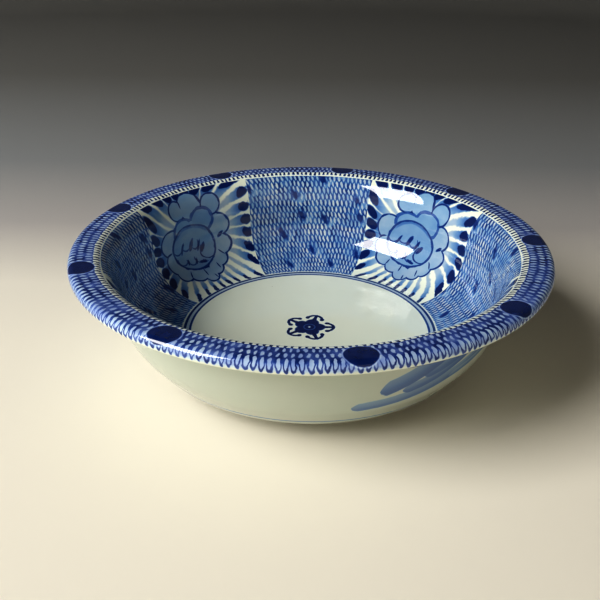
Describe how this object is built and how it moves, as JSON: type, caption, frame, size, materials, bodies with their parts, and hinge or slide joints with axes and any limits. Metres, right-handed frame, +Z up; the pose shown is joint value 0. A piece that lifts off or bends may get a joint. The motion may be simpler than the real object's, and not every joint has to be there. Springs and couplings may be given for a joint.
{
  "type": "porcelain serving bowl",
  "caption": "Wide round porcelain serving bowl with a flat flanged rim, rolled lip, foot ring and cobalt net and flower painting under clear glaze.",
  "frame": {"origin": "centre of the foot ring's resting plane", "axes": "+Z up along the bowl's axis; +X to the right of a viewer who looks along +Y"},
  "size_m": [0.29, 0.29, 0.0788],
  "materials": {
    "biscuit": "matt fired porcelain clay, under the glaze",
    "bare_foot": "bare wiped foot edge, fine matt grain, slightly toasted",
    "clear_glaze": "glossy clear glaze over off-white clay, faintly grey-green",
    "painted_glaze": "glossy clear glaze over hand-painted cobalt net and flowers",
    "cobalt": "underglaze cobalt brushwork, mid blue",
    "pale_cobalt": "underglaze cobalt, thin wash",
    "dark_cobalt": "underglaze cobalt, heavy dark blue"
  },
  "bodies": {
    "root": {"well_floor": "biscuit", "haunch": "biscuit", "side_wall": "biscuit", "rim_flange": "biscuit", "foot_ring": "bare_foot", "floor_glaze": "clear_glaze", "inner_wall_glaze": "painted_glaze", "rim_glaze": "painted_glaze", "outer_wall_glaze": "clear_glaze", "foot_glaze": "clear_glaze", "base_glaze": "clear_glaze", "floor_flower_mark": "dark_cobalt", "floor_double_line": "cobalt", "net_panels": "cobalt", "peony_panels": "pale_cobalt", "rim_net_band": "cobalt", "rim_ovals": "dark_cobalt", "outer_line": "pale_cobalt"}
  },
  "joints": []
}
